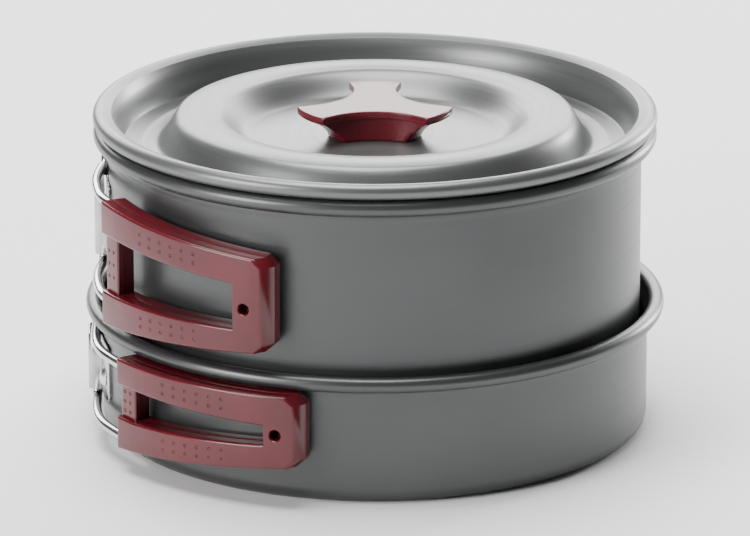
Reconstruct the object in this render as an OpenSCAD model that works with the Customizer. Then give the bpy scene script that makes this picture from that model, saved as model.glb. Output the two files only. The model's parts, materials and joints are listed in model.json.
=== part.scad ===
// Nesting camp cooking set: a deep pot stands in a shallow pan and carries a domed lid.
// Each vessel has a riveted bracket with a pair of wire handles that fold round its wall.
// Origin: centre of the pan's base, on the surface it stands on. +Z is up, the brackets are at -X.

/* [Pan] */
// Outer radius of the pan's wall
pan_r = 83.7; // [83.7:0.1:84.5]
// Height of the pan's rim bead centre
pan_bead_z = 38.3; // [38:0.1:40]
// Radius of the pan's rim bead section
pan_bead_r = 2.35; // [2:0.05:2.5]
// Radius from the axis to the middle of the pan's rim bead
pan_bead_c = 86.35; // [86:0.05:86.8]
// Turn of the pan's bracket about the axis, in degrees
pan_turn = 2.3; // [-4:0.1:6]

/* [Pot] */
// Outer radius of the pot's wall
pot_r = 81.3; // [80.6:0.1:81.4]
// Height of the pot's rim bead centre
pot_bead_z = 91.8; // [91:0.1:92]
// Radius of the pot's rim bead section
pot_bead_r = 2.5; // [2.2:0.05:2.6]
// Radius from the axis to the middle of the pot's rim bead
pot_bead_c = 83.4; // [83:0.05:83.6]
// Turn of the pot's bracket about the axis, in degrees
pot_turn = -4; // [-8:0.1:2]

/* [Sheet metal] */
// Thickness of the vessel walls
wall_t = 1.2; // [1:0.05:1.4]
// Thickness of the vessel bases
base_t = 1.5; // [1.2:0.1:1.6]
// Outer radius of the corner between base and wall
corner_r = 4.5; // [4:0.1:6]
// Thickness of the lid sheet
lid_t = 0.9; // [0.7:0.05:1]
// Gap between parts that rest on each other
rest_gap = 0.3; // [0.2:0.05:0.35]

/* [Lid] */
// Radius of the lid's rim bead section
lid_bead_r = 2.4; // [2.2:0.05:2.4]
// Radius from the axis to the middle of the lid's rim bead
lid_bead_c = 83.6; // [83.4:0.05:83.8]
// Height of the recessed middle of the lid
recess_z = 90.7; // [90:0.1:91.5]
// Height of the crown of the lid's ring-shaped dome
crown_z = 98; // [97:0.1:98.5]
// Height of the valley between dome and rim
valley_z = 87.8; // [87.5:0.1:88.5]

/* [Knob] */
// Radius from the axis to the tips of the knob's three arms
knob_r = 24; // [22:0.5:26]
// Height of the knob's top face
knob_top_z = 100.4; // [100:0.1:101.5]
// Thickness of the knob's top plate
knob_plate_t = 2.4; // [2:0.1:3]
// Radius of the hollows between the arms
knob_hollow_r = 19; // [18:0.5:20]

/* [Handles] */
// Diameter of the handle wire
wire_d = 3; // [3:0.05:3.2]
// Distance of each handle's pivot from the middle of its bracket
pivot_y = 3.9; // [3.8:0.05:3.9]
// Angle from the bracket to the start of the grip
grip_start = 31.5; // [31:0.5:33]
// Angle from the bracket to the free end of the grip
grip_end = 74.6; // [74:0.1:76]
// Radial thickness of the grip
grip_t = 8.2; // [8:0.1:9]
// Angle from the bracket to the start of the grip's window
window_start = 36.7; // [36.5:0.1:38]
// Angle from the bracket to the end of the grip's window
window_end = 66.8; // [66:0.1:67.5]
// Size of the two cut corners at the grip's free end
chamfer = 2.5; // [2:0.1:3]
// Radius of the hang hole near the grip's free end
hang_r = 1.6; // [1.2:0.1:1.6]
// Setback of the grip's strut behind its rails
strut_back = 1.7; // [1:0.1:2]

/* [Brackets] */
// Thickness of the bracket sheet
bracket_t = 0.8; // [0.7:0.05:0.8]
// Half width of the bracket's flanges, in degrees round the wall
bracket_deg = 14.2; // [13.5:0.1:15]
// Half width of the bracket's raised channel
channel_w = 6.5; // [6.5:0.05:6.8]
// Height of the channel's outer face above the wall
channel_h = 4.5; // [4.5:0.05:4.8]
// Angle from the bracket's middle to each rivet
rivet_deg = 9.5; // [9:0.1:10]
// Radius of the rivet heads
rivet_r = 3.2; // [2.8:0.1:3.3]

/* [Hidden] */
$fn = 96;

pot_base_z = base_t + rest_gap;
lid_bead_z = pot_bead_z + pot_bead_r + rest_gap + lid_bead_r;
wire_r = wire_d / 2;
// Size of the wire's tight bends, and the sides of its section
bend_r = 2.6;
wire_sides = 12;
rivet_shank_r = 1.6;
rivet_fit = 0.02;
mid_deg = (grip_start + grip_end) / 2;
// Angle round the wall of the hang hole and of the wire's end loop
hang_deg = 69.2;
loop_deg = grip_end - 2.6;
// How far the hang hole sits below the middle of the grip
hang_drop = 1.2;
// Height below the rim bead where each vessel's wall starts to flare
neck_drop = 4;
// Rounding of the bracket's flange corners and of its channel, and the lid's bolt hole
flange_corner = 3;
channel_corner = 2;
bolt_hole_r = 2.2;
// Depth of the wire's clamped groove beyond the wire itself
groove_fit = 0.05;
// Distance from the wall to the middle of each handle's pivot
pivot_gap = 1.9;

// Each handle: [pivot radius, grip inner radius, pivot pin length, wire, outline, window]
// The last three are heights: [bottom, top] at the bracket end, then [bottom, top] at the free end
pan_handle = [
    pan_r + pivot_gap, pan_r + 1.6, 8,
    [9, 31.7, 16.8, 31.7], [7, 35.5, 13.6, 35.5], [17.2, 27.4, 20, 26]
];
pot_handle = [
    pot_r + pivot_gap, pot_r + 3.1, 11,
    [49.4, 80, 51.6, 73.2], [43.5, 82, 48, 76.4], [54, 71.8, 54.6, 68.4]
];

function pivot_radius(h) = h[0];
function grip_radius(h) = h[1];
function pin_length(h) = h[2];
function wire_levels(h) = h[3];
function outline_levels(h) = h[4];
function window_levels(h) = h[5];

// Bottom and top of each bracket, just inside its handles' wires
wire_clear = wire_r + 1;
pan_bracket_z = [wire_levels(pan_handle)[0] + wire_clear, wire_levels(pan_handle)[1] - wire_clear];
pot_bracket_z = [wire_levels(pot_handle)[0] + wire_clear, wire_levels(pot_handle)[1] - wire_clear];
pan_rivet_z = 18;
pot_rivet_z = 65;

// ---- Vessels ----

module rounded_profile(r, z0, z1, corner) {
    translate([0, z0]) square([r - corner, corner]);
    translate([0, z0 + corner]) square([r, z1 - z0 - corner]);
    translate([r - corner, z0 + corner]) circle(corner);
}

// Outward curled edge of a sheet: a tube with a narrow slit where the curl ends
module curled_bead(c, z, r, t) {
    translate([c, z]) difference() {
        circle(r);
        circle(r - t);
        rotate(-118) translate([0, -0.3]) square([r + 1, 0.6]);
    }
}

module vessel(r, z0, bead_c, bead_z, bead_r) {
    inner = r - wall_t;
    flare = bead_c - bead_r - inner + 0.05;
    neck_z = bead_z - neck_drop;
    rotate_extrude() {
        difference() {
            rounded_profile(r, z0, neck_z, corner_r);
            difference() {
                rounded_profile(inner, z0 + base_t, neck_z + 1, corner_r - wall_t);
                translate([-1, 0]) square([1, neck_z + 2]);
            }
        }
        polygon([[inner, neck_z], [r, neck_z], [r + flare, bead_z], [inner + flare, bead_z]]);
        curled_bead(bead_c, bead_z, bead_r, wall_t);
    }
}

// A radial direction round the wall, counted from the bracket
module at_angle(a) {
    rotate([0, 0, 180 + a]) children();
}

module rivet_holes(r, z) {
    for (side = [-1, 1])
        at_angle(side * rivet_deg) translate([r - 4, 0, z]) rotate([0, 90, 0])
            cylinder(r = rivet_shank_r + rivet_fit, h = 8);
}

// ---- Bracket and rivets ----

module rounded_box_2d(w, h, r) {
    translate([-w, 0]) square([2 * w, h - r]);
    translate([-w + r, 0]) square([2 * (w - r), h]);
    for (s = [-1, 1]) translate([s * (w - r), h - r]) circle(r);
}

module bracket(r, levels, rivet_z) {
    height = levels[1] - levels[0];
    reach = (r + bracket_t) * sin(bracket_deg);
    skin = r + bracket_t;
    corner = flange_corner;
    inner_corner = channel_corner - bracket_t;
    color("silver") difference() {
        intersection() {
            translate([0, 0, levels[0] - 1]) linear_extrude(height + 2) difference() {
                union() {
                    intersection() {
                        circle(skin);
                        translate([-skin - 1, -reach - 1]) square([skin / 2, 2 * reach + 2]);
                    }
                    translate([-r + 2, 0]) rotate(90) rounded_box_2d(channel_w, channel_h + 2, channel_corner);
                }
                circle(r);
                translate([-r + 2, 0]) rotate(90)
                    rounded_box_2d(channel_w - bracket_t, channel_h + 2 - bracket_t, inner_corner);
            }
            // Round corners, seen along the bracket's outward direction
            translate([-r - 10, 0, 0]) rotate([90, 0, 90]) linear_extrude(30) union() {
                translate([-reach + corner, levels[0]]) square([2 * (reach - corner), height]);
                translate([-reach, levels[0] + corner]) square([2 * reach, height - 2 * corner]);
                for (y = [-1, 1], z = [levels[0] + corner, levels[1] - corner])
                    translate([y * (reach - corner), z]) circle(corner);
            }
        }
        rivet_holes(r, rivet_z);
    }
}

module rivets(r, z) {
    dome_h = 1.5;
    dome_r = (rivet_r * rivet_r + dome_h * dome_h) / (2 * dome_h);
    skin = r + bracket_t;
    inside = r - wall_t - 0.06;
    tail_t = 0.6;
    shank_h = skin - inside + tail_t + 0.2;
    for (side = [-1, 1])
        color("gainsboro") at_angle(side * rivet_deg) translate([0, 0, z]) rotate([0, 90, 0]) {
            intersection() {
                translate([0, 0, skin + dome_h - dome_r]) sphere(dome_r);
                translate([0, 0, skin]) cylinder(r = rivet_r + 1, h = dome_h + 1);
            }
            translate([0, 0, inside - tail_t]) cylinder(r = rivet_shank_r, h = shank_h);
            translate([0, 0, inside - tail_t]) cylinder(r = 2.8, h = tail_t);
        }
}

// ---- Handles: drawn for the front one, whose grip lies towards -Y ----

function polar(p) = [-p[0] * cos(p[1]), -p[0] * sin(p[1]), p[2]];

function mix(a, b, k) = a + (b - a) * k;

function unit(v) = v / norm(v);

function wire_radius(h) = grip_radius(h) + grip_t / 2 + 0.2;

// Height inside a sloping rail, which is straight when seen along the grip's middle direction
function rail_z(a, z0, z1) = mix(z0, z1, (1 + sin(a - mid_deg) / sin(grip_end - mid_deg)) / 2);

// Route of one arm: it bows out from the pivot, then follows the wall inside the grip's rail
function arm(h, z0, z1) = [
    [pivot_radius(h) + 2.6, 13, z0],
    [pivot_radius(h) + 4.1, 20, z0],
    for (a = [26, each [grip_start : 4 : 68]]) [wire_radius(h), a, rail_z(max(a, grip_start), z0, z1)]
];

function reversed(list) = [for (i = [len(list) - 1 : -1 : 0]) list[i]];

// Points of a smooth bend at corner p, which starts near a and ends near b
function bend(a, p, b, size) =
    let (s = p + size * unit(a - p), e = p + size * unit(b - p))
    [for (k = [0, 0.3, 0.7, 1]) (1 - k) * (1 - k) * s + 2 * k * (1 - k) * p + k * k * e];

function pivot_point(h, z) = [pivot_radius(h), asin(pivot_y / pivot_radius(h)), z];

function wire_route(h) =
    let (
        z = wire_levels(h),
        lower = [for (p = arm(h, z[0], z[2])) polar(p)],
        upper = [for (p = arm(h, z[1], z[3])) polar(p)],
        last = len(upper) - 1,
        low_pivot = polar(pivot_point(h, z[0])),
        top_pivot = polar(pivot_point(h, z[1])),
        low_loop = polar([wire_radius(h), loop_deg, rail_z(loop_deg, z[0], z[2])]),
        top_loop = polar([wire_radius(h), loop_deg, rail_z(loop_deg, z[1], z[3])])
    )
    concat(
        [top_pivot - [0, 0, bend_r + 2]],
        bend(top_pivot - [0, 0, 9], top_pivot, upper[0], bend_r),
        upper,
        bend(upper[last], top_loop, low_loop, bend_r),
        bend(top_loop, low_loop, lower[last], bend_r),
        reversed(lower),
        bend(lower[0], low_pivot, low_pivot + [0, 0, 9], bend_r),
        [low_pivot + [0, 0, bend_r + 2]]
    );

// A round wire along a route: its rings stand square to it, with corners set out from the axis
module swept(route, radii) {
    n = len(route);
    function along(i) = unit(route[min(i + 1, n - 1)] - route[max(i - 1, 0)]);
    function out(p, t) = let (r = [p[0], p[1], 0]) unit(r - (r * t) * t);
    rings = [
        for (i = [0 : n - 1])
            let (t = along(i), u = out(route[i], t), v = cross(t, u))
                for (k = [0 : wire_sides - 1])
                    let (a = 360 * k / wire_sides) route[i] + radii[i] * (cos(a) * u + sin(a) * v)
    ];
    sides = [
        for (i = [0 : n - 2], k = [0 : wire_sides - 1])
            let (a = i * wire_sides, b = a + wire_sides, m = (k + 1) % wire_sides)
                each [[a + k, b + k, a + m], [a + m, b + k, b + m]]
    ];
    start = [for (k = [0 : wire_sides - 1]) k];
    ends = [start, [for (k = reversed(start)) (n - 1) * wire_sides + k]];
    polyhedron(rings, concat(sides, ends));
}

// The swept route is thinner where it starts inside the two true round pivot pins
module handle_wire(h) {
    route = wire_route(h);
    n = len(route);
    radii = [for (i = [0 : n - 1]) i < 2 || i > n - 3 ? wire_r * 0.9 : wire_r];
    pin_h = pin_length(h) - bend_r + 0.2;
    low_z = wire_levels(h)[0] + pin_length(h) - pin_h;
    top_z = wire_levels(h)[1] - pin_length(h);
    color("silver") {
        swept(route, radii);
        translate(polar(pivot_point(h, low_z))) cylinder(r = wire_r, h = pin_h);
        translate(polar(pivot_point(h, top_z))) cylinder(r = wire_r, h = pin_h);
    }
}

// Channel for the wire: a strip along one rail, open at the bracket end
module rail_groove(h, z0, z1) {
    r = wire_radius(h);
    half = wire_r + groove_fit;
    u = (r + half) * sin(grip_end - mid_deg);
    intersection() {
        ring_sector(r - half, r + half, grip_start - 1, loop_deg, 0, 90);
        through_grip([
            [-u - 5, z0 - half - 0.2], [-u, z0 - half - 0.2], [u, z1 - half - 0.2],
            [u, z1 + half + 0.2], [-u, z0 + half + 0.2], [-u - 5, z0 + half + 0.2]
        ]);
    }
}

module grip_wire_groove(h) {
    r = wire_radius(h);
    half = wire_r + groove_fit + 0.1;
    z = wire_levels(h);
    rail_groove(h, z[0], z[2]);
    rail_groove(h, z[1], z[3]);
    ring_sector(r - half, r + half, loop_deg - 1.2, loop_deg + 1.3, z[2] - half, z[3] + half);
}

// A straight cut through the grip along its middle direction: u runs round the wall, v up
module through_grip(points) {
    at_angle(mid_deg) translate([60, 0, 0]) rotate([90, 0, 90]) linear_extrude(50) polygon(points);
}

module ring_sector(r0, r1, a0, a1, z0, z1) {
    at_angle(a0) rotate_extrude(angle = a1 - a0) translate([r0, z0]) square([r1 - r0, z1 - z0]);
}

module grip_layer(h, r0, r1) {
    outer = grip_radius(h) + grip_t;
    half = outer * sin(mid_deg - grip_start);
    edge = outline_levels(h);
    window = window_levels(h);
    window_u0 = outer * sin(window_start - mid_deg);
    window_u1 = outer * sin(window_end - mid_deg);
    slope_u = 2 * half;
    bottom_rise = (edge[2] - edge[0]) / slope_u;
    top_drop = (edge[3] - edge[1]) / slope_u;
    hang_z = (edge[2] + edge[3]) / 2 - hang_drop;
    // The setback ends just inside the rails' edges
    inset = 0.1;
    color("darkred") difference() {
        intersection() {
            ring_sector(r0, r1, grip_start, grip_end, 0, 90);
            through_grip([
                [-half - 4, edge[0] - 4 * bottom_rise],
                [half - chamfer, edge[2] - chamfer * bottom_rise],
                [half + 0.6, edge[2] + chamfer + 0.6],
                [half + 0.6, edge[3] - chamfer - 0.6],
                [half - chamfer, edge[3] - chamfer * top_drop],
                [-half - 4, edge[1] - 4 * top_drop]
            ]);
        }
        through_grip([
            [window_u0, window[0]], [window_u1, window[2]], [window_u1, window[3]], [window_u0, window[1]]
        ]);
        intersection() {
            ring_sector(outer - strut_back, outer + 2, grip_start - 1, mid_deg, 0, 90);
            through_grip([
                [-half - 6, window[0] + inset], [window_u0 + 2, window[0] + inset + 0.1],
                [window_u0 + 2, window[1] - inset - 0.2], [-half - 6, window[1] - inset]
            ]);
        }
        grip_wire_groove(h);
        at_angle(hang_deg) translate([grip_radius(h) - 3, 0, hang_z]) rotate([0, 90, 0])
            cylinder(r = hang_r, h = grip_t + 6);
    }
}

module grip_outer(h) {
    grip_layer(h, wire_radius(h), grip_radius(h) + grip_t);
}

module grip_inner(h) {
    grip_layer(h, grip_radius(h), wire_radius(h));
}

// ---- Lid ----

function ease(k) = (1 - cos(180 * k)) / 2;

// Radii where the dome's inner slope starts, its crown starts and ends, and its outer slope ends
dome_r = [38, 48.5, 59, 67];
crown_bow = 0.6;
shoulder_z = crown_z - crown_bow;

function dome_step(i, k) = mix(dome_r[i], dome_r[i + 1], k);

// Upper surface of the lid from its middle to its rim, as [radius, height]
lid_curve = concat(
    [[0, recess_z], [dome_r[0], recess_z]],
    [for (k = [0.125 : 0.125 : 1]) [dome_step(0, k), mix(recess_z, shoulder_z, ease(k))]],
    [for (k = [1 : 5]) [dome_step(1, k / 6), crown_z - crown_bow * pow(k / 3 - 1, 2)]],
    [for (k = [0 : 0.125 : 1]) [dome_step(2, k), mix(shoulder_z, valley_z, ease(k))]],
    [[70.3, valley_z], [70.9, valley_z + 0.4], [75.8, valley_z + 0.4], [76.8, valley_z + 0.9]],
    [[77.7, valley_z + 4], [78.5, valley_z + 7], [79.3, valley_z + 9], [80.4, valley_z + 10.6]],
    [[81.6, lid_bead_z + lid_bead_r - 0.5], [83.2, lid_bead_z + lid_bead_r - 0.15]]
);

// Points of the curve moved square to it by a distance
function shifted(curve, d) = [
    for (i = [0 : len(curve) - 1])
        let (a = curve[max(i - 1, 0)], b = curve[min(i + 1, len(curve) - 1)])
            let (n = unit([b[1] - a[1], a[0] - b[0]]))
            i == 0 ? [0, curve[0][1] - d] : curve[i] + d * n
];

module lid_plate() {
    color("dimgray") difference() {
        rotate_extrude() {
            polygon(concat(shifted(lid_curve, lid_t), reversed(lid_curve)));
            curled_bead(lid_bead_c, lid_bead_z, lid_bead_r, lid_t);
        }
        translate([0, 0, recess_z - 5]) cylinder(r = bolt_hole_r, h = 10);
    }
}

// ---- Knob and its fastening ----

insert_r = 3.5;
insert_h = 6;
screw_r = 2;
washer_t = 0.8;
knob_foot_z = recess_z + 0.05;
under_lid_z = recess_z - lid_t;

module three_arms(tip) {
    grow = tip - knob_r;
    difference() {
        circle(tip);
        for (a = [30, 150, 270])
            rotate(a) translate([knob_r + 5.5, 0]) circle(knob_hollow_r - grow);
    }
}

module knob() {
    plate_z = knob_top_z - knob_plate_t;
    // The body's top end lies inside the plate
    body_h = plate_z - knob_foot_z + 0.5;
    color("darkred") difference() {
        union() {
            translate([0, 0, plate_z]) linear_extrude(knob_plate_t) three_arms(knob_r);
            intersection() {
                translate([0, 0, knob_foot_z]) linear_extrude(body_h + 1) three_arms(knob_r - 1.5);
                translate([0, 0, knob_foot_z]) cylinder(r1 = 12.5, r2 = 23, h = body_h);
            }
        }
        translate([0, 0, knob_foot_z - 1]) cylinder(r = insert_r, h = insert_h + 1);
    }
}

module knob_insert() {
    color("goldenrod") translate([0, 0, knob_foot_z]) difference() {
        cylinder(r = insert_r, h = insert_h);
        translate([0, 0, -1]) cylinder(r = screw_r + 0.05, h = insert_h);
    }
}

module knob_washer() {
    color("silver") translate([0, 0, under_lid_z - washer_t]) difference() {
        cylinder(r = 5, h = washer_t);
        translate([0, 0, -1]) cylinder(r = 2.15, h = washer_t + 2);
    }
}

module knob_screw() {
    head_h = 2.2;
    head_z = under_lid_z - washer_t - head_h;
    color("gainsboro") difference() {
        union() {
            translate([0, 0, head_z]) cylinder(r = 3.8, h = head_h);
            translate([0, 0, head_z]) cylinder(r = screw_r, h = head_h + washer_t + lid_t + insert_h - 1.5);
        }
        for (a = [0, 90])
            rotate(a) translate([-2.2, -0.4, head_z - 1]) cube([4.4, 0.8, 2.2]);
    }
}

// ---- Named pieces ----

module on_pan() {
    rotate([0, 0, pan_turn]) children();
}

module on_pot() {
    rotate([0, 0, pot_turn]) children();
}

module rear() {
    mirror([0, 1, 0]) children();
}

module pan_body() {
    color("gray") difference() {
        vessel(pan_r, 0, pan_bead_c, pan_bead_z, pan_bead_r);
        on_pan() rivet_holes(pan_r, pan_rivet_z);
    }
}

module pot_body() {
    color("gray") difference() {
        vessel(pot_r, pot_base_z, pot_bead_c, pot_bead_z, pot_bead_r);
        on_pot() rivet_holes(pot_r, pot_rivet_z);
    }
}

pan_body();
on_pan() bracket(pan_r, pan_bracket_z, pan_rivet_z);  // pan_bracket
on_pan() rivets(pan_r, pan_rivet_z);  // pan_rivets
on_pan() handle_wire(pan_handle);  // pan_front_wire
on_pan() grip_outer(pan_handle);  // pan_front_grip_outer
on_pan() grip_inner(pan_handle);  // pan_front_grip_inner
on_pan() rear() handle_wire(pan_handle);  // pan_rear_wire
on_pan() rear() grip_outer(pan_handle);  // pan_rear_grip_outer
on_pan() rear() grip_inner(pan_handle);  // pan_rear_grip_inner
pot_body();
on_pot() bracket(pot_r, pot_bracket_z, pot_rivet_z);  // pot_bracket
on_pot() rivets(pot_r, pot_rivet_z);  // pot_rivets
on_pot() handle_wire(pot_handle);  // pot_front_wire
on_pot() grip_outer(pot_handle);  // pot_front_grip_outer
on_pot() grip_inner(pot_handle);  // pot_front_grip_inner
on_pot() rear() handle_wire(pot_handle);  // pot_rear_wire
on_pot() rear() grip_outer(pot_handle);  // pot_rear_grip_outer
on_pot() rear() grip_inner(pot_handle);  // pot_rear_grip_inner
lid_plate();
knob();
knob_insert();
knob_washer();
knob_screw();
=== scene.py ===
"""Studio scene of the nesting cooking pot set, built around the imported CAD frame.

Shapes are worked out in millimetres and stored in metres. Angles round the wall are counted in degrees
from the bracket, which points to -X, towards the front handle. The frame's axes are used: +Z up, -Y front.
"""

import json
import math

import bmesh
import bpy
from mathutils import Matrix, Vector


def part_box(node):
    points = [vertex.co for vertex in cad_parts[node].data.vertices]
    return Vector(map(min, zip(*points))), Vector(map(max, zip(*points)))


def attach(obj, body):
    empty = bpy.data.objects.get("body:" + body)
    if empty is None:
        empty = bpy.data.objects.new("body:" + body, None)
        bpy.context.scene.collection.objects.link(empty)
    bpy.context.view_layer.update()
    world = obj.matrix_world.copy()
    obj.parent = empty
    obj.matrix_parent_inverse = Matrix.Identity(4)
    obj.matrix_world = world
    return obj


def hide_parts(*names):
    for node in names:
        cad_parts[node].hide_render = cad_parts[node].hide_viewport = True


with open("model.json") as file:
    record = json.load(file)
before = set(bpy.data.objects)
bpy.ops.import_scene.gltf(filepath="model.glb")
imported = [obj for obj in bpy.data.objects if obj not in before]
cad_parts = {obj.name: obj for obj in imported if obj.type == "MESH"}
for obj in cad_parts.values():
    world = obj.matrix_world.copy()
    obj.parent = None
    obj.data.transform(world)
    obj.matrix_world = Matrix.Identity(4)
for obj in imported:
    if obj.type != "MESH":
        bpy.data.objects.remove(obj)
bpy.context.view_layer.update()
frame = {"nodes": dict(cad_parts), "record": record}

MM = 0.001

# ---- Sizes that the CAD boxes don't give, in mm and degrees ----

WALL_T = 1.2
BASE_T = 1.5
CORNER_R = 4.5
NECK_DROP = 4.0
ROUND_STEPS = 224
WELD = 0.0005

LID_T = 0.9
LID_BEAD_R = 2.4
LID_BOLT_R = 2.2
LID_MIDDLE_DROP = 8.7
CROWN_RISE, CROWN_BOW = 7.3, 0.6
GROOVE_DROP = 2.9
# The dome rises between the first two radii and falls between the last two
DOME_R = (38, 48.5, 59, 67)
# From the groove outside the dome up the lid's side, as [radius, height above the groove]
LID_SIDE = (
    (70, 0), (70.7, 0.35), (71.6, 0.4), (75.4, 0.4), (76.6, 0.8), (77.3, 2.2), (77.7, 4), (78.5, 7),
    (79.3, 9), (80.4, 10.6),
)

KNOB_TIP_R = 24.0
KNOB_HOLLOW_R = 19.0
KNOB_HOLLOW_REACH = 29.5
KNOB_PLATE_T = 2.4
KNOB_STEPS = 240
SOCKET_R, SOCKET_H = 3.5, 6.0

GRIP_START, GRIP_END = 31.5, 74.6
GRIP_MID = (GRIP_START + GRIP_END) / 2
GRIP_T = 8.2
PARTING = GRIP_T / 2 + 0.2
WINDOW_START, WINDOW_END = 36.7, 66.8
HANG_DEG, HANG_DROP, HANG_R = 69.2, 1.2, 1.6
LOOP_DEG = GRIP_END - 2.6
STRUT_BACK = 1.7
END_CHAMFER = 2.6
END_SLOPE = 2.8
GRIP_BANDS = 48
SHARP_RADIANS = 0.5
PIVOT_Y = 3.9
WIRE_R = 1.5
WIRE_SIDES = 24
BEND_R = 2.6
# Between the pivot and the grip the wire passes these angles at these distances outside the pivot
WIRE_NECK = ((13, 2.6), (20, 4.1))
WIRE_ARM_DEG = (26, GRIP_START, 36, 42, 47, 52, 57, 62, 68)

BRACKET_T = 0.8
BRACKET_DEG = 14.2
CHANNEL_HALF = 6.5
CHANNEL_H = 4.5
RIVET_DEG = 9.5
RIVET_R = 3.2

# Outline and window heights are [bottom, top] at the bracket end, then [bottom, top] at the free end
PAN = {
    "turn": 2.3, "wall": 83.7, "bead": 2.35, "rivet_z": 18.0, "pin": 8.0,
    "pivot_r": 85.6, "grip_r": 85.3, "wire": [9.0, 31.7, 16.8, 31.7],
    "outline": [7.0, 35.5, 13.6, 35.5], "window": [17.2, 27.4, 20.0, 26.0],
    "strut_pitch": 3.0,
}
POT = {
    "turn": -4.0, "wall": 81.3, "bead": 2.5, "rivet_z": 65.0, "pin": 11.0,
    "pivot_r": 83.2, "grip_r": 84.4, "wire": [49.4, 80.0, 51.6, 73.2],
    "outline": [43.5, 82.0, 48.0, 76.4], "window": [54.0, 71.8, 54.6, 68.4],
    "strut_pitch": 3.9,
}

# ---- Studio, in m, degrees and W, with the lens in mm ----

FLOOR_R, FLOOR_STEPS = 2.2, 96
# Each light's name, place, size and power
LIGHTS = (
    ("top_light", (-0.15, 0.05, 1.4), (1.1, 1.0), 38),
    ("back_light", (0, 1.6, 0.8), (2.4, 0.8), 56),
    ("left_light", (-1.3, -0.95, 0.6), (0.8, 0.8), 30),
    ("right_light", (1.15, 1.15, 0.3), (0.25, 0.6), 24),
)
LIGHT_TARGET = (0, 0, 0.05)
SKY_STRENGTH = 0.14
CAMERA_DISTANCE, CAMERA_ELEVATION = 2.0, 18.8
CAMERA_TARGET = (0, 0, 0.0474)
SENSOR_MM, LENS_MM = 36, 310.464


def box_mm(node):
    low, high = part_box(node)
    return low / MM, high / MM


def mix(a, b, k):
    return a + (b - a) * k


def ease(k):
    return (1 - math.cos(math.pi * k)) / 2


def sin_deg(a):
    return math.sin(math.radians(a))


def cos_deg(a):
    return math.cos(math.radians(a))


# ---- Materials ----


def add_node(tree, kind, values=None, **links):
    """A shader node with its properties set and its inputs linked or filled."""
    node = tree.nodes.new(kind)
    for key, value in (values or {}).items():
        if hasattr(node, key):
            setattr(node, key, value)
        else:
            node.inputs[key].default_value = value
    for key, value in links.items():
        name = key.replace("_", " ")
        tree.links.new(value, node.inputs[name])
    return node


def start_material(name):
    material = bpy.data.materials.new(name)
    material.use_nodes = True
    tree = material.node_tree
    shader = tree.nodes["Principled BSDF"]
    place = tree.nodes.new("ShaderNodeTexCoord").outputs["Object"]
    return material, tree, shader, place


def noise(tree, vector, scale, detail=3.0, rough=0.5):
    values = {"Scale": scale, "Detail": detail, "Roughness": rough}
    return add_node(tree, "ShaderNodeTexNoise", values, Vector=vector).outputs["Fac"]


def spread(tree, value, low, high):
    """Maps a noise value to a range of greys or of a shader input."""
    values = {"From Min": 0.3, "From Max": 0.7, "To Min": low, "To Max": high}
    return add_node(tree, "ShaderNodeMapRange", values, Value=value).outputs["Result"]


def blend_colours(tree, factor, dark, light):
    ramp = add_node(tree, "ShaderNodeValToRGB", Fac=factor)
    ramp.color_ramp.elements[0].position = 0.32
    ramp.color_ramp.elements[0].color = (*dark, 1)
    ramp.color_ramp.elements[1].position = 0.68
    ramp.color_ramp.elements[1].color = (*light, 1)
    return ramp.outputs["Color"]


def bump(tree, height, strength, distance):
    values = {"Strength": strength, "Distance": distance}
    return add_node(tree, "ShaderNodeBump", values, Height=height).outputs["Normal"]


def turned_place(tree, place, across, along):
    """Texture space of a turned part: lines run round the axis, so only radius and height change fast."""
    parts = add_node(tree, "ShaderNodeSeparateXYZ", Vector=place)
    flat = add_node(tree, "ShaderNodeVectorMath", {"operation": "MULTIPLY"}, Vector=place)
    flat.inputs[1].default_value = (1, 1, 0)
    radius = add_node(tree, "ShaderNodeVectorMath", {"operation": "LENGTH"})
    tree.links.new(flat.outputs["Vector"], radius.inputs[0])
    lines = []
    for source in (radius.outputs["Value"], parts.outputs["Z"]):
        scaled = add_node(tree, "ShaderNodeMath", {"operation": "MULTIPLY"})
        tree.links.new(source, scaled.inputs[0])
        scaled.inputs[1].default_value = across
        lines.append(scaled.outputs["Value"])
    drift = add_node(tree, "ShaderNodeMath", {"operation": "MULTIPLY"})
    tree.links.new(parts.outputs["X"], drift.inputs[0])
    drift.inputs[1].default_value = along
    place = add_node(tree, "ShaderNodeCombineXYZ", X=lines[0], Y=lines[1], Z=drift.outputs["Value"])
    return place.outputs["Vector"]


def anodised(name, dark, light, roughness):
    """Hard-anodised spun aluminium: fine grain, faint turning lines, and slow changes of tone."""
    material, tree, shader, place = start_material(name)
    grain = noise(tree, place, 2600, 4.0, 0.65)
    clouds = noise(tree, place, 22, 3.0)
    lines = noise(tree, turned_place(tree, place, 1500, 30), 1.0, 2.0)
    tone = add_node(tree, "ShaderNodeMix", {"data_type": "FLOAT"})
    tone.inputs["Factor"].default_value = 0.35
    tree.links.new(clouds, tone.inputs["A"])
    tree.links.new(grain, tone.inputs["B"])
    tree.links.new(blend_colours(tree, tone.outputs["Result"], dark, light), shader.inputs["Base Color"])
    tree.links.new(spread(tree, lines, roughness - 0.03, roughness + 0.04), shader.inputs["Roughness"])
    height = add_node(tree, "ShaderNodeMath", {"operation": "ADD"})
    tree.links.new(grain, height.inputs[0])
    tree.links.new(lines, height.inputs[1])
    tree.links.new(bump(tree, height.outputs["Value"], 0.16, 0.00008), shader.inputs["Normal"])
    shader.inputs["Metallic"].default_value = 0.7
    return material


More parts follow.
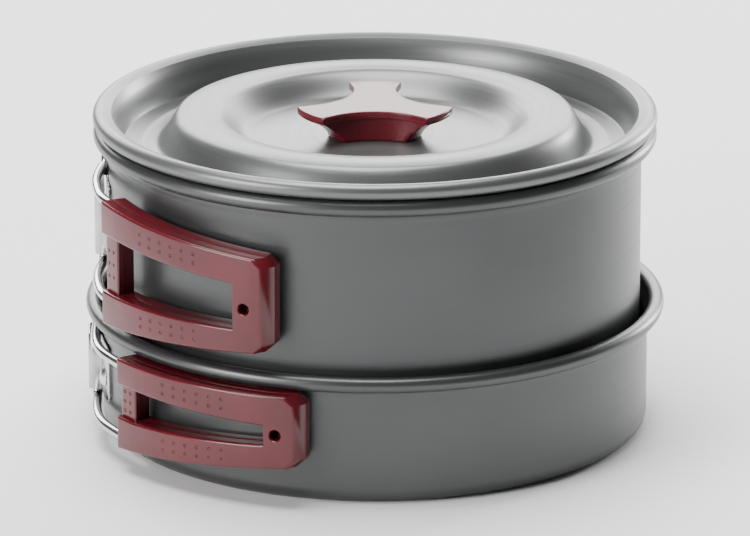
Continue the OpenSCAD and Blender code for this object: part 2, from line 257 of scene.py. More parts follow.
def steel(name, dark, light, roughness, stretch):
    """Polished stainless steel with faint drawing lines."""
    material, tree, shader, place = start_material(name)
    stretched = add_node(tree, "ShaderNodeMapping", Vector=place)
    stretched.inputs["Scale"].default_value = stretch
    lines = noise(tree, stretched.outputs["Vector"], 900, 3.0)
    smudge = noise(tree, place, 120, 2.0)
    tree.links.new(blend_colours(tree, smudge, dark, light), shader.inputs["Base Color"])
    tree.links.new(spread(tree, lines, roughness - 0.05, roughness + 0.07), shader.inputs["Roughness"])
    tree.links.new(bump(tree, lines, 0.12, 0.00005), shader.inputs["Normal"])
    shader.inputs["Metallic"].default_value = 1.0
    return material


def plastic(name, dark, light, roughness, coat, specular):
    """Glossy moulded plastic: deep colour, a faintly uneven skin, and fine wear in the gloss."""
    material, tree, shader, place = start_material(name)
    flow = noise(tree, place, 60, 4.0)
    skin = noise(tree, place, 420, 3.0)
    wear = noise(tree, place, 1800, 5.0, 0.7)
    tree.links.new(blend_colours(tree, flow, dark, light), shader.inputs["Base Color"])
    tree.links.new(spread(tree, wear, roughness - 0.02, roughness + 0.03), shader.inputs["Roughness"])
    tree.links.new(bump(tree, skin, 0.04, 0.0002), shader.inputs["Normal"])
    shader.inputs["IOR"].default_value = 1.5
    shader.inputs["Specular IOR Level"].default_value = specular
    shader.inputs["Coat Weight"].default_value = coat
    shader.inputs["Coat Roughness"].default_value = 0.08
    return material


def paper_floor(name):
    material, tree, shader, place = start_material(name)
    fibre = noise(tree, place, 300, 4.0)
    shade = blend_colours(tree, fibre, (0.86, 0.86, 0.86), (0.88, 0.88, 0.88))
    tree.links.new(shade, shader.inputs["Base Color"])
    shader.inputs["Roughness"].default_value = 0.7
    shader.inputs["Specular IOR Level"].default_value = 0.2
    return material


WALL_GREY = ((0.074, 0.076, 0.077), (0.088, 0.09, 0.091))
# The lid has the same anodised finish as the walls. Its grey is nearly twice as light as theirs, which is
# painted light for the top and back lights falling on its upward faces.
LID_GREY_WITH_PAINTED_LIGHT = ((0.14, 0.142, 0.143), (0.158, 0.16, 0.161))
BRACKET_GREY = ((0.42, 0.42, 0.415), (0.5, 0.5, 0.495))
WIRE_GREY = ((0.52, 0.52, 0.515), (0.6, 0.6, 0.595))
FASTENER_GREY = ((0.66, 0.66, 0.65), (0.74, 0.74, 0.73))
BRASS = ((0.7, 0.52, 0.24), (0.78, 0.6, 0.3))
GRIP_RED = ((0.075, 0.004, 0.008), (0.1, 0.006, 0.012))
KNOB_RED = ((0.1, 0.007, 0.013), (0.13, 0.01, 0.018))

MATERIALS = {
    "anodised_pan": anodised("anodised_pan", *WALL_GREY, 0.34),
    "anodised_pot": anodised("anodised_pot", *WALL_GREY, 0.34),
    # The lid's lighter grey is painted light on its upward faces, not a different finish.
    "anodised_lid": anodised("anodised_lid", *LID_GREY_WITH_PAINTED_LIGHT, 0.36),
    "stainless_bracket": steel("stainless_bracket", *BRACKET_GREY, 0.24, (1, 1, 0.05)),
    "stainless_wire": steel("stainless_wire", *WIRE_GREY, 0.16, (0.1, 0.1, 1)),
    "rivet": steel("rivet", *FASTENER_GREY, 0.26, (1, 1, 1)),
    "grip_plastic": plastic("grip_plastic", *GRIP_RED, 0.22, 0.15, 0.45),
    "knob_plastic": plastic("knob_plastic", *KNOB_RED, 0.28, 0.0, 0.38),
    "insert_brass": steel("insert_brass", *BRASS, 0.3, (1, 1, 0.1)),
    "fastener_steel": steel("fastener_steel", *FASTENER_GREY, 0.28, (1, 1, 0.2)),
}


# ---- Mesh helpers ----


def finish_mesh(name, bm, body, slot, nodes, sharp=32):
    """Turns a bmesh in mm into a named piece that rides on its body and replaces its CAD nodes."""
    bmesh.ops.remove_doubles(bm, verts=bm.verts, dist=WELD)
    bmesh.ops.recalc_face_normals(bm, faces=bm.faces)
    bmesh.ops.scale(bm, vec=(MM, MM, MM), verts=bm.verts)
    mesh = bpy.data.meshes.new(name)
    bm.to_mesh(mesh)
    bm.free()
    mesh.polygons.foreach_set("use_smooth", [True] * len(mesh.polygons))
    mesh.set_sharp_from_angle(angle=math.radians(sharp))
    mesh.materials.append(MATERIALS[slot])
    piece = bpy.data.objects.new(name, mesh)
    bpy.context.scene.collection.objects.link(piece)
    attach(piece, body)
    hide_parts(*nodes)
    return piece


def circle(radius, height, steps):
    """Points of a level circle about the Z axis."""
    points = []
    for i in range(steps):
        a = 2 * math.pi * i / steps
        points.append(Vector((radius * math.cos(a), radius * math.sin(a), height)))
    return points


def skin(bm, low, high):
    """Joins two rings of equal length by a band of faces."""
    count = len(low)
    for i in range(count):
        j = (i + 1) % count
        bm.faces.new((low[i], low[j], high[j], high[i]))


def loft(bm, rings, closed_ends=True):
    """Skins rings of equal length, each a list of points, and caps the two ends."""
    rows = [[bm.verts.new(p) for p in ring] for ring in rings]
    for low, high in zip(rows, rows[1:]):
        skin(bm, low, high)
    if closed_ends:
        bm.faces.new(rows[0])
        bm.faces.new(rows[-1])
    return rows


def lathe(bm, profile, frame_matrix=Matrix(), steps=ROUND_STEPS):
    """Turns a closed outline of [radius, height] points about +Z. Points on the axis share one vertex."""
    columns = []
    for radius, height in profile:
        if radius < WELD:
            columns.append([bm.verts.new(frame_matrix @ Vector((0, 0, height)))] * steps)
        else:
            columns.append([bm.verts.new(frame_matrix @ p) for p in circle(radius, height, steps)])
    count = len(columns)
    for k in range(count):
        a, b = columns[k], columns[(k + 1) % count]
        for i in range(steps):
            j = (i + 1) % steps
            corners = []
            for vert in (a[i], a[j], b[j], b[i]):
                if vert not in corners:
                    corners.append(vert)
            if len(corners) > 2:
                bm.faces.new(corners)


def arc(centre, radius, start, end, count):
    """Points of an arc in a profile, both ends included, with angles in degrees."""
    points = []
    for i in range(count + 1):
        a = mix(start, end, i / count)
        points.append((centre[0] + radius * cos_deg(a), centre[1] + radius * sin_deg(a)))
    return points


def line(a, b, count):
    """Points from a to b without b."""
    return [(mix(a[0], b[0], i / count), mix(a[1], b[1], i / count)) for i in range(count)]


def cut_corners(points, passes):
    """Rounds a polyline by cutting its corners, and keeps its two ends."""
    for _ in range(passes):
        rounded = [points[0]]
        for a, b in zip(points, points[1:]):
            rounded += [mix(a, b, 0.25), mix(a, b, 0.75)]
        points = rounded + [points[-1]]
    return points


def radial_frame(angle, height):
    """A place on the vessels' axis whose local +Z points outward at an angle of the row frame."""
    out = Vector((cos_deg(angle), sin_deg(angle), 0))
    side = Vector((-out.y, out.x, 0))
    matrix = Matrix((side, Vector((0, 0, 1)), out)).transposed().to_4x4()
    matrix.translation = Vector((0, 0, height))
    return matrix


# ---- Vessels and lid ----


def vessel(name, spec):
    """Deep-drawn vessel with a curled rim: the slit under the curl is a real groove."""
    low, high = box_mm(f"{name}_body")
    wall = spec["wall"]
    bead = spec["bead"]
    centre = (high.x - bead, high.z - bead)
    inner = wall - WALL_T
    neck = centre[1] - NECK_DROP
    inner_corner = CORNER_R - WALL_T
    floor_z = low.z + BASE_T
    # The base's middle is pressed in a little, so that the vessel stands on its outer ring
    panel_r, panel_z = wall - 16, low.z + 0.25
    profile = line((0, panel_z), (panel_r, panel_z), 6)
    profile += [(panel_r, panel_z), (panel_r + 1, low.z)]
    profile += line((panel_r + 2, low.z), (wall - CORNER_R, low.z), 4)
    profile += arc((wall - CORNER_R, low.z + CORNER_R), CORNER_R, -90, 0, 10)
    # The wall, its flare, and the slit between the flare and the curl
    profile += line((wall, low.z + CORNER_R + 0.5), (wall, neck - 1.5), 12)
    profile += [(wall, neck - 1.5), (wall + 0.03, neck - 0.6), (wall + 0.3, neck + 1)]
    slit = (centre[0] - bead * 0.73, centre[1] - bead * 0.47)
    profile += [(slit[0] - 0.3, slit[1] - 0.9), slit]
    # The curl, over its top, to the inner side
    profile += arc(centre, bead, -122, 180, 30)
    profile.append((centre[0] - bead - 0.05, centre[1] - 0.8))
    profile += [(inner + 0.25, neck + 1.2), (inner + 0.04, neck)]
    profile += line((inner, neck - 1), (inner, floor_z + inner_corner), 12)
    profile += arc((inner - inner_corner, floor_z + inner_corner), inner_corner, 0, -90, 8)
    profile += line((inner - inner_corner - 1, floor_z), (0, floor_z), 8)
    profile.append((0, floor_z))
    bm = bmesh.new()
    lathe(bm, profile)
    slot = f"anodised_{name}"
    return finish_mesh(f"{name}_vessel", bm, name, slot, [f"{name}_body"])


def slope(a, b):
    """An eased change of height from a to b, both ends included."""
    count = 14
    points = []
    for k in range(count + 1):
        points.append((mix(a[0], b[0], k / count), mix(a[1], b[1], ease(k / count))))
    return points


def lid_curve(middle_z, top):
    """Upper surface of the lid from its middle to its rim, as [radius, height]."""
    rise_from, rise_to, fall_from, fall_to = DOME_R
    shoulder = middle_z + CROWN_RISE - CROWN_BOW
    groove = middle_z - GROOVE_DROP
    points = [(radius, middle_z) for radius in range(4, rise_from, 3)]
    points += slope((rise_from, middle_z), (rise_to, shoulder))
    for k in range(1, 8):
        bow = CROWN_BOW * (1 - (k / 4 - 1) ** 2)
        points.append((mix(rise_to, fall_from, k / 8), shoulder + bow))
    points += slope((fall_from, shoulder), (fall_to, groove))
    points += [(radius, groove + rise) for radius, rise in LID_SIDE]
    points += [(81.6, top - 0.5), (83.2, top - 0.05)]
    return points


def shifted(curve, distance):
    """The curve moved square to itself."""
    moved = []
    last = len(curve) - 1
    for i, (x, y) in enumerate(curve):
        a = Vector(curve[max(i - 1, 0)])
        b = Vector(curve[min(i + 1, last)])
        step = (b - a).normalized()
        moved.append((x + step.y * distance, y - step.x * distance))
    return moved


def lid():
    high = box_mm("lid_plate")[1]
    centre = (high.x - LID_BEAD_R, high.z - LID_BEAD_R)
    upper = lid_curve(high.z - LID_MIDDLE_DROP, high.z)
    under = shifted(upper, LID_T)
    profile = [(LID_BOLT_R, upper[0][1])] + upper
    profile += arc(centre, LID_BEAD_R, 90, -168, 34)
    profile += list(reversed(under[:-2]))
    profile.append((LID_BOLT_R, under[0][1]))
    bm = bmesh.new()
    lathe(bm, profile)
    return finish_mesh("lid_shell", bm, "lid", "anodised_lid", ["lid_plate"])


# ---- Knob ----


def soft_min(a, b, size):
    """The lesser of two lengths with a rounded change between them."""
    k = max(0.0, 1 - abs(a - b) / size)
    return min(a, b) - size * k * k / 4


def knob_radius(angle, tip, hollow):
    """Outline of the three arms in polar form: hollows are circles centred outside the knob."""
    phi = (angle - 30) % 120
    phi = phi - 120 if phi > 60 else phi
    across = KNOB_HOLLOW_REACH * sin_deg(phi)
    if abs(across) >= hollow:
        tangent_deg = math.degrees(math.asin(hollow / KNOB_HOLLOW_REACH))
        edge = KNOB_HOLLOW_REACH * cos_deg(tangent_deg) + (abs(across) - hollow) * 12
    else:
        edge = KNOB_HOLLOW_REACH * cos_deg(phi) - math.sqrt(hollow * hollow - across * across)
    return soft_min(tip, edge, 0.7)


def knob_levels(foot_z, top_z):
    """From foot to top: height, how far the outline draws in, and the most that the body's cone reaches."""
    plate_z = top_z - KNOB_PLATE_T
    cone, flare, no_cone = 14.6, 7.6, 99
    body_inset, round_r = 1.5, 0.45
    levels = [(foot_z, body_inset + 0.3, cone - 0.4)]
    for k in range(13):
        rise = k / 12
        levels.append((mix(foot_z + 0.3, plate_z - 0.2, rise), body_inset, cone + flare * rise ** 1.5))
    # The plate's lower edge and the fine line round its side
    for rise, inset in ((-0.1, 1.2), (0, 0.5), (0.15, 0.1), (0.4, 0), (0.8, 0), (0.95, 0.12), (1.1, 0)):
        levels.append((plate_z + rise, inset, no_cone))
    for k in range(7):
        a = 90 * k / 6
        levels.append((top_z - round_r + round_r * sin_deg(a), round_r * (1 - cos_deg(a)), no_cone))
    # Two rings on the flat top keep its shading even
    return levels + [(top_z, 2.5, no_cone), (top_z, 6, no_cone)]


def knob():
    low, high = box_mm("knob")
    rings = []
    for height, inset, cone in knob_levels(low.z, high.z):
        ring = []
        for i in range(KNOB_STEPS):
            a = 360 * i / KNOB_STEPS
            radius = soft_min(knob_radius(a, KNOB_TIP_R - inset, KNOB_HOLLOW_R + inset), cone, 1.5)
            ring.append(Vector((radius * cos_deg(a), radius * sin_deg(a), height)))
        rings.append(ring)
    bm = bmesh.new()
    rows = loft(bm, rings, closed_ends=False)
    bm.faces.new(rows[-1])
    # The foot is open in its middle, where the brass insert sits
    mouth = [bm.verts.new(p) for p in circle(SOCKET_R, low.z, KNOB_STEPS)]
    roof = [bm.verts.new(p) for p in circle(SOCKET_R, low.z + SOCKET_H, KNOB_STEPS)]
    skin(bm, rows[0], mouth)
    skin(bm, mouth, roof)
    bm.faces.new(roof)
    return finish_mesh("knob_moulding", bm, "lid", "knob_plastic", ["knob"])


# ---- Bracket and rivets ----


def placed(spec, point, rear=False):
    """A point of the bracket's own frame, turned to its place. The rear is the front mirrored."""
    x, y, z = point
    if rear:
        y = -y
    turn = spec["turn"]
    return Vector((x * cos_deg(turn) - y * sin_deg(turn), x * sin_deg(turn) + y * cos_deg(turn), z))


def bracket_path(wall):
    """Middle line of the bent sheet in plan, from one flange's end to the other, its channel at -X."""
    mid = wall + BRACKET_T / 2
    side = CHANNEL_HALF - BRACKET_T / 2
    top = wall + CHANNEL_H - BRACKET_T / 2
    foot_r, corner_r = 1.0, 1.6
    foot_deg = math.degrees(math.asin((side + foot_r) / (mid + foot_r)))
    foot = (-(mid + foot_r) * cos_deg(foot_deg), -(side + foot_r))
    half = arc((0, 0), mid, 180 + BRACKET_DEG, 180 + foot_deg, 10)
    half += arc(foot, foot_r, foot_deg, 90, 5)[1:]
    half += arc((corner_r - top, corner_r - side), corner_r, 270, 180, 6)
    half.append((-top, -side / 3))
    return half + [(x, -y) for x, y in reversed(half)]


def bracket(name, spec):
    """The bent sheet as sections along its middle line, drawn in at the flanges' rounded corners."""
    low, high = box_mm(f"{name}_bracket")
    path = [Vector(p) for p in bracket_path(spec["wall"])]
    length = [0.0]
    for a, b in zip(path, path[1:]):
        length.append(length[-1] + (b - a).length)
    total = length[-1]
    corner, rim, half_t = 3.0, 0.25, BRACKET_T / 2
    ends = [corner * (1 - cos_deg(90 * k / 8)) for k in range(9)]
    stations = ends + [s for s in length if corner < s < total - corner]
    stations += [total - s for s in reversed(ends)]
    rings = []
    for s in stations:
        edge = min(s, total - s)
        inset = 0.0
        if edge < corner:
            inset = corner - math.sqrt(max(corner * corner - (corner - edge) ** 2, 0.0))
        i = max(k for k in range(len(length) - 1) if length[k] <= s + 1e-9)
        span = length[i + 1] - length[i]
        point = path[i].lerp(path[i + 1], min((s - length[i]) / span, 1.0))
        before = path[max(i - 1, 0)]
        after = path[min(i + 2, len(path) - 1)]
        step = (after - before).normalized()
        out = Vector((-step.y, step.x))
        if out.dot(point) < 0:
            out = -out
        bottom = low.z + inset
        top = high.z - inset
        section = [(bottom + rim, -1), (bottom, -0.4), (bottom, 0.4), (bottom + rim, 1)]
        section += [(top - rim, 1), (top, 0.4), (top, -0.4), (top - rim, -1)]
        ring = []
        for z, side in section:
            flat = point + out * side * half_t
            ring.append(placed(spec, (flat.x, flat.y, z)))
        rings.append(ring)
    bm = bmesh.new()
    loft(bm, rings)
    node = f"{name}_bracket"
    return finish_mesh(f"{node}_sheet", bm, name, "stainless_bracket", [node], sharp=50)


def rivets(name, spec):
    """Two domed heads outside and their flat tails inside, on one shank each."""
    dome_h, tail_r, tail_t, shank_r = 1.5, 2.8, 0.6, 1.6
    skin_r = spec["wall"] + BRACKET_T
    tail = spec["wall"] - WALL_T - 0.06
    dome_r = (RIVET_R * RIVET_R + dome_h * dome_h) / (2 * dome_h)
    span = math.degrees(math.asin(RIVET_R / dome_r))
    profile = [(0, tail - tail_t), (tail_r - 0.3, tail - tail_t)]
    profile += [(tail_r, tail - tail_t + 0.25), (tail_r, tail)]
    profile += [(shank_r, tail), (shank_r, skin_r), (RIVET_R - 0.05, skin_r), (RIVET_R, skin_r + 0.15)]
    profile += arc((0, skin_r + dome_h - dome_r), dome_r, 90 - span + 3, 90, 12)[:-1]
    profile.append((0, skin_r + dome_h))
    bm = bmesh.new()
    for side in (-1, 1):
        angle = 180 + side * RIVET_DEG + spec["turn"]
        lathe(bm, profile, radial_frame(angle, spec["rivet_z"]), 40)
    return finish_mesh(f"{name}_rivet_pair", bm, name, "rivet", [f"{name}_rivets"])


# ---- Handles ----


def round_wall(radius, angle, z):
    return Vector((-radius * cos_deg(angle), -radius * sin_deg(angle), z))


def rail_z(angle, start, end):
    """Height inside a sloping rail, which is straight when seen along the grip's middle direction."""
    return mix(start, end, (1 + sin_deg(angle - GRIP_MID) / sin_deg(GRIP_END - GRIP_MID)) / 2)


def bend(before, corner, after, size):
    """Points of a round bend at a corner."""
    start = corner + (before - corner).normalized() * size
    end = corner + (after - corner).normalized() * size
    points = []
    for k in (0, 0.2, 0.4, 0.6, 0.8, 1):
        points.append((1 - k) ** 2 * start + 2 * k * (1 - k) * corner + k * k * end)
    return points


def wire_arm(spec, start, end):
    """The wire's way from beside its pivot along one rail, whose height goes from start to end."""
    points = [round_wall(spec["pivot_r"] + away, angle, start) for angle, away in WIRE_NECK]
    for angle in WIRE_ARM_DEG:
        height = rail_z(max(angle, GRIP_START), start, end)
        points.append(round_wall(spec["grip_r"] + PARTING, angle, height))
    return points


def wire_route(spec):
    """The whole wire: a pin, the upper arm, the loop in the grip's end, the lower arm and a pin."""
    pivot_r = spec["pivot_r"]
    loop_r = spec["grip_r"] + PARTING
    low0, top0, low1, top1 = spec["wire"]
    up = Vector((0, 0, 1))
    lower = wire_arm(spec, low0, low1)
    upper = wire_arm(spec, top0, top1)
    pivot_deg = math.degrees(math.asin(PIVOT_Y / pivot_r))
    low_pivot = round_wall(pivot_r, pivot_deg, low0)
    top_pivot = round_wall(pivot_r, pivot_deg, top0)
    low_loop = round_wall(loop_r, LOOP_DEG, rail_z(LOOP_DEG, low0, low1))
    top_loop = round_wall(loop_r, LOOP_DEG, rail_z(LOOP_DEG, top0, top1))
    pin = up * (spec["pin"] - 0.4)
    route = [top_pivot - pin, top_pivot - up * (BEND_R + 1)]
    route += bend(top_pivot - pin, top_pivot, upper[0], BEND_R) + upper
    route += bend(upper[-1], top_loop, low_loop, BEND_R)
    route += bend(top_loop, low_loop, lower[-1], BEND_R)
    route += list(reversed(lower)) + bend(lower[0], low_pivot, low_pivot + pin, BEND_R)
    route += [low_pivot + up * (BEND_R + 1), low_pivot + pin]
    return cut_corners(route, 2)


def sweep(bm, route, radius, sides):
    """A round tube along a route, with domed ends and no twist."""
    tip_out, tip_r = 0.4, radius * 0.7
    count = len(route)
    across = Vector((1, 0, 0))
    rings = []
    for i, point in enumerate(route):
        along = (route[min(i + 1, count - 1)] - route[max(i - 1, 0)]).normalized()
        across = (across - along * across.dot(along)).normalized()
        third = along.cross(across)
        here = []
        for k in range(sides):
            a = 2 * math.pi * k / sides
            here.append(across * math.cos(a) + third * math.sin(a))
        if i == 0:
            rings.append([point - along * tip_out + d * tip_r for d in here])
        rings.append([point + d * radius for d in here])
        if i == count - 1:
            rings.append([point + along * tip_out + d * tip_r for d in here])
    loft(bm, rings)


def handle_wire(name, spec, side):
    bm = bmesh.new()
    route = [placed(spec, p, side == "rear") for p in wire_route(spec)]
    sweep(bm, route, WIRE_R, WIRE_SIDES)
    body = f"{name}_{side}_handle"
    return finish_mesh(f"{name}_{side}_bail", bm, body, "stainless_wire", [f"{name}_{side}_wire"])


def grip_half_length(spec):
    """Half the grip's length in flat space, at its outer face."""
    return (spec["grip_r"] + GRIP_T) * sin_deg(GRIP_MID - GRIP_START)


def edge_at(levels, half, u):
    """Bottom and top of the outline or window at a place u along the grip."""
    k = (u + half) / (2 * half)
    return mix(levels[0], levels[2], k), mix(levels[1], levels[3], k)


def grip_points(spec, radius, end_cut):
    """The twelve corners of a grip's layer at one radius, round its outline and then round its window."""
    outer = spec["grip_r"] + GRIP_T
    half = grip_half_length(spec)
    left = -radius * sin_deg(GRIP_MID - GRIP_START)
    right = radius * sin_deg(GRIP_END - GRIP_MID) - end_cut
    win0 = outer * sin_deg(WINDOW_START - GRIP_MID)
    win1 = outer * sin_deg(WINDOW_END - GRIP_MID)
    outline = spec["outline"]
    window = spec["window"]
    chamfer_low, chamfer_top = edge_at(outline, half, right - END_CHAMFER)
    left_low, left_top = edge_at(outline, half, left)
    return [
        (left, left_low), (right - END_CHAMFER, chamfer_low), (right, chamfer_low + END_CHAMFER),
        (right, chamfer_top - END_CHAMFER), (right - END_CHAMFER, chamfer_top), (left, left_top),
        (left, window[1]), (win0, window[1]), (win1, window[3]), (win1, window[2]), (win0, window[0]),
        (left, window[0]),
    ]


def grip_layer(spec, r_from, r_to, end_cut, strut_r):
    """A closed flat-space layer (u, v, radius): a C of two rails and the end block, and a strut across it.

    Corners are numbered as in grip_points. The strut's face is at its own radius, on corners 6, 7, 10, 11.
    """
    bm = bmesh.new()
    low = [bm.verts.new((u, v, r_from)) for u, v in grip_points(spec, r_from, 0)]
    top = [bm.verts.new((u, v, r_to)) for u, v in grip_points(spec, r_to, end_cut)]
    strut_points = grip_points(spec, strut_r, 0)
    mid = {i: bm.verts.new((*strut_points[i], strut_r)) for i in (6, 7, 10, 11)}
    sides = [
        (low[0], low[1], top[1], top[0]), (low[1], low[2], top[2], top[1]),
        (low[2], low[3], top[3], top[2]), (low[3], low[4], top[4], top[3]),
        (low[4], low[5], top[5], top[4]), (low[5], low[6], mid[6], top[6], top[5]),
        (mid[6], mid[7], top[7], top[6]), (low[7], low[8], top[8], top[7], mid[7]),
        (low[8], low[9], top[9], top[8]), (low[9], low[10], mid[10], top[10], top[9]),
        (mid[10], mid[11], top[11], top[10]), (low[11], low[0], top[0], top[11], mid[11]),
        (low[6], low[11], mid[11], mid[6]), (low[7], low[10], mid[10], mid[7]),
        (mid[6], mid[7], mid[10], mid[11]), (low[6], low[7], low[10], low[11]),
    ]
    for corners in sides:
        bm.faces.new(corners)
    bm.faces.new(top)
    bm.faces.new(low)
    bmesh.ops.recalc_face_normals(bm, faces=bm.faces)
    return bm, top, mid


def edges_between(verts, pairs):
    found = []
    for a, b in pairs:
        for edge in verts[a].link_edges:
            if edge.other_vert(verts[a]) == verts[b]:
                found.append(edge)
    return found


def sharp_edges_at(bm, radius, tolerance):
    """The sharp edges of a flat-space half that lie at one radius."""
    level = [e for e in bm.edges if all(abs(v.co.z - radius) < tolerance for v in e.verts)]
    return [e for e in level if len(e.link_faces) == 2 and e.calc_face_angle() > SHARP_RADIANS]


def round_edges(bm, edges, size, segments):
    bmesh.ops.bevel(
        bm, geom=edges, offset=size, segments=segments, profile=0.5, affect="EDGES", clamp_overlap=True
    )


def cutter(spec, dimples):
    """Dimples and the hang hole with its flared mouths, as one mesh of separate closed shapes."""
    bm = bmesh.new()
    inner = spec["grip_r"]
    outer = inner + GRIP_T
    past, ball_r, ball_out = 2, 0.72, 0.42
    profile = [(0, inner - past), (HANG_R + 1.9, inner - past), (HANG_R, inner + 0.5)]
    profile += [(HANG_R, outer - 0.5), (HANG_R + 0.1, outer - 0.25), (HANG_R + 2.2, outer + past)]
    profile.append((0, outer + past))
    slant = Matrix.Identity(4)
    slant[0][2] = sin_deg(HANG_DEG - GRIP_MID)
    slant[1][3] = (spec["outline"][2] + spec["outline"][3]) / 2 - HANG_DROP
    lathe(bm, profile, slant, 32)
    for u, v, on_strut in dimples:
        level = outer - STRUT_BACK if on_strut else outer
        ball = Matrix.Translation((u, v, level + ball_out))
        bmesh.ops.create_uvsphere(bm, u_segments=16, v_segments=10, radius=ball_r, matrix=ball)
    return bm


def grip_dimples(spec):
    """Places of the small dimples: two rows on each rail and two columns on the strut."""
    half = grip_half_length(spec)
    first_u, column_pitch, row_gap = -13.0, 4.4, 2.7
    strut_column_gap, strut_row_pitch = 2.6, spec["strut_pitch"]
    places = []
    for column in range(6):
        u = first_u + column * column_pitch
        low, top = edge_at(spec["outline"], half, u)
        win_low, win_top = edge_at(spec["window"], half, u)
        for row in (-0.5, 0.5):
            places.append((u, (top + win_top) / 2 + row * row_gap, False))
            places.append((u, (low + win_low) / 2 + row * row_gap, False))
    window_u = (spec["grip_r"] + GRIP_T) * sin_deg(WINDOW_START - GRIP_MID)
    strut_u = (window_u - half) / 2
    strut_v = (spec["window"][0] + spec["window"][1]) / 2
    for row in (-1, 0, 1):
        for column in (-0.5, 0.5):
            places.append((strut_u + column * strut_column_gap, strut_v + row * strut_row_pitch, True))
    return places


def cut(bm, tool):
    """bm less tool, by Blender's exact boolean on two scratch objects."""
    objects = []
    for name, part in (("scratch_body", bm), ("scratch_tool", tool)):
        mesh = bpy.data.meshes.new(name)
        part.to_mesh(mesh)
        part.free()
        item = bpy.data.objects.new(name, mesh)
        bpy.context.scene.collection.objects.link(item)
        objects.append(item)
    body, knife = objects
    change = body.modifiers.new("cut", "BOOLEAN")
    change.operation = "DIFFERENCE"
    change.solver = "EXACT"
    change.object = knife
    result = bmesh.new()
    result.from_object(body, bpy.context.evaluated_depsgraph_get())
    for item in objects:
        mesh = item.data
        bpy.data.objects.remove(item)
        bpy.data.meshes.remove(mesh)
    return result


def slice_along(bm, half, count):
    """Cuts the flat layer into narrow bands, so that it bends smoothly round the wall."""
    for k in range(1, count):
        u = mix(-half, half, k / count)
        geometry = bm.verts[:] + bm.edges[:] + bm.faces[:]
        bmesh.ops.bisect_plane(bm, geom=geometry, dist=1e-5, plane_co=(u, 0, 0), plane_no=(1, 0, 0))


def bend_round(spec, bm, rear):
    """Moves each flat-space point (u, v, radius) to its place round the wall."""
    across = 180 + GRIP_MID
    for vert in bm.verts:
        u, v, radius = vert.co
        out = math.sqrt(radius * radius - u * u)
        x = out * cos_deg(across) - u * sin_deg(across)
        y = out * sin_deg(across) + u * cos_deg(across)
        vert.co = placed(spec, (x, y, v), rear)


def outer_half(spec):
    """A grip's outer half before its holes: its free end slopes, and its strut lies behind its face."""
    outer = spec["grip_r"] + GRIP_T
    parting = spec["grip_r"] + PARTING
    bm, face, strut = grip_layer(spec, parting, outer, END_SLOPE, outer - STRUT_BACK)
    edges = edges_between(face, [(i, (i + 1) % 12) for i in range(12)])
    edges += edges_between(strut, [(6, 11), (7, 10)])
    round_edges(bm, edges, 0.75, 5)
    return bm


def inner_half(spec):
    """A grip's inner half before its holes: its strut is level with its face, so the two are joined."""
    inner = spec["grip_r"]
    bm = grip_layer(spec, inner + PARTING, inner, 0, inner + 0.02)[0]
    bmesh.ops.remove_doubles(bm, verts=bm.verts, dist=0.05)
    round_edges(bm, sharp_edges_at(bm, inner, 0.06), 0.9, 5)
    return bm


def grip_half(spec, kind):
    """One half of a grip in flat space, its parting edge broken, with its hang hole and any dimples."""
    bm = outer_half(spec) if kind == "outer" else inner_half(spec)
    round_edges(bm, sharp_edges_at(bm, spec["grip_r"] + PARTING, 0.01), 0.22, 2)
    dimples = grip_dimples(spec) if kind == "outer" else []
    bm = cut(bm, cutter(spec, dimples))
    slice_along(bm, grip_half_length(spec), GRIP_BANDS)
    return bm


def handle(name, spec):
    for kind in ("outer", "inner"):
        flat = grip_half(spec, kind)
        for side in ("front", "rear"):
            bm = flat.copy()
            bend_round(spec, bm, side == "rear")
            node = f"{name}_{side}_grip_{kind}"
            body = f"{name}_{side}_handle"
            finish_mesh(f"{node}_moulding", bm, body, "grip_plastic", [node], sharp=38)
        flat.free()
    for side in ("front", "rear"):
        handle_wire(name, spec, side)


# ---- Studio ----


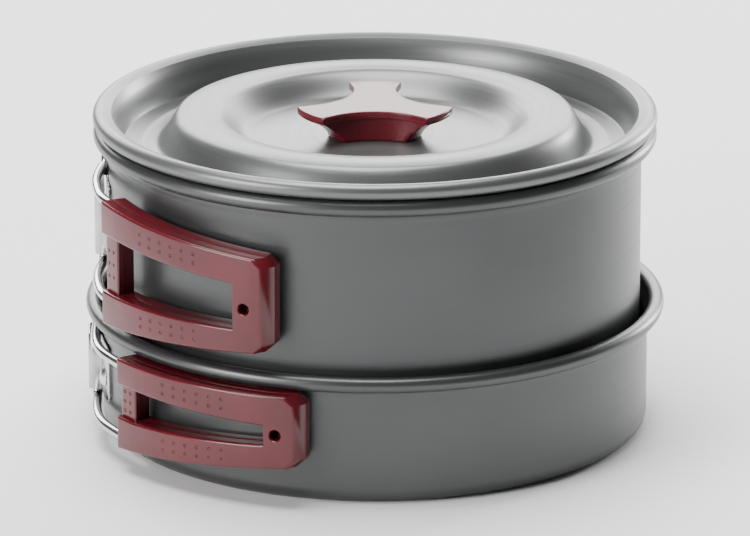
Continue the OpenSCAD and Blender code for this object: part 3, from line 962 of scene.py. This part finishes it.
def studio_floor():
    """A pale round sheet under the set, wide enough to fill every view."""
    bm = bmesh.new()
    middle = bm.verts.new((0, 0, 0))
    rim = [bm.verts.new(p) for p in circle(FLOOR_R, 0, FLOOR_STEPS)]
    for a, b in zip(rim, rim[1:] + rim[:1]):
        bm.faces.new((middle, a, b))
    mesh = bpy.data.meshes.new("studio_floor")
    bm.to_mesh(mesh)
    bm.free()
    mesh.materials.append(paper_floor("studio_floor"))
    floor = bpy.data.objects.new("studio_floor", mesh)
    bpy.context.scene.collection.objects.link(floor)


def aim(item, target):
    item.rotation_euler = (Vector(target) - item.location).to_track_quat("-Z", "Y").to_euler()


def soft_light(name, place, target, size, power):
    data = bpy.data.lights.new(name, "AREA")
    data.shape = "RECTANGLE"
    data.size, data.size_y = size
    data.energy = power
    item = bpy.data.objects.new(name, data)
    item.location = place
    bpy.context.scene.collection.objects.link(item)
    aim(item, target)


def studio_light():
    for name, place, size, power in LIGHTS:
        soft_light(name, place, LIGHT_TARGET, size, power)
    world = bpy.data.worlds.new("studio_world")
    world.use_nodes = True
    sky = world.node_tree.nodes["Background"]
    sky.inputs["Color"].default_value = (1, 1, 1, 1)
    sky.inputs["Strength"].default_value = SKY_STRENGTH
    bpy.context.scene.world = world


def studio_camera():
    """A long lens some way above the set's front, looking down at it."""
    data = bpy.data.cameras.new("camera")
    data.sensor_width = SENSOR_MM
    data.lens = LENS_MM
    item = bpy.data.objects.new("camera", data)
    back = -CAMERA_DISTANCE * cos_deg(CAMERA_ELEVATION)
    item.location = (0, back, CAMERA_DISTANCE * sin_deg(CAMERA_ELEVATION))
    bpy.context.scene.collection.objects.link(item)
    aim(item, CAMERA_TARGET)
    bpy.context.scene.camera = item


def paint_kept_nodes():
    """The knob's hidden metal parts keep their CAD shape and get their slots' materials."""
    for part in frame["record"]["subparts"]:
        item = frame["nodes"][part["node"]]
        item.data.materials.clear()
        item.data.materials.append(MATERIALS[part["material_slot"]])


studio_camera()
studio_floor()
studio_light()
paint_kept_nodes()
vessel("pan", PAN)
vessel("pot", POT)
lid()
knob()
for vessel_name, vessel_spec in (("pan", PAN), ("pot", POT)):
    bracket(vessel_name, vessel_spec)
    rivets(vessel_name, vessel_spec)
    handle(vessel_name, vessel_spec)
